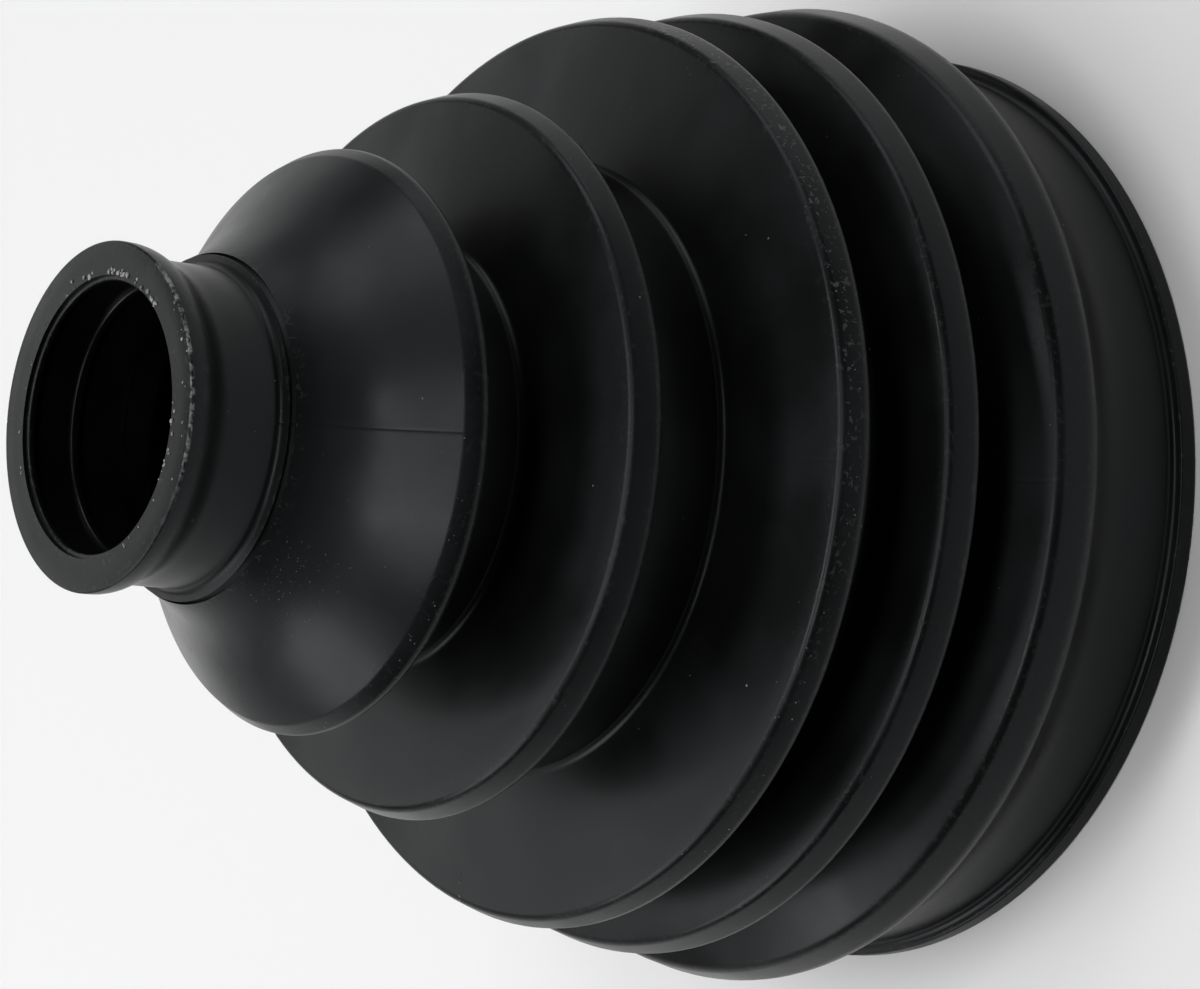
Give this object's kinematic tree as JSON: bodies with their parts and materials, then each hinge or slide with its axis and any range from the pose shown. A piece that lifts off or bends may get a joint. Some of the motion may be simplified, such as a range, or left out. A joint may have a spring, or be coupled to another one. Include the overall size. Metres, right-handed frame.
{
  "type": "rubber bellows boot",
  "caption": "Stepped rubber bellows boot for a drive-shaft joint: a small ribbed neck, folds that widen to a broad crest, and a wide ribbed cuff with a clamp-band seat.",
  "frame": {"origin": "centre of the large-end face, which the boot stands on", "axes": "+Z along the boot's axis, from the large end up to the small end"},
  "size_m": [0.0986, 0.0986, 0.094],
  "materials": {
    "rubber": "matte, moulded"
  },
  "bodies": {
    "root": {"bellows_boot": "rubber"}
  },
  "joints": []
}
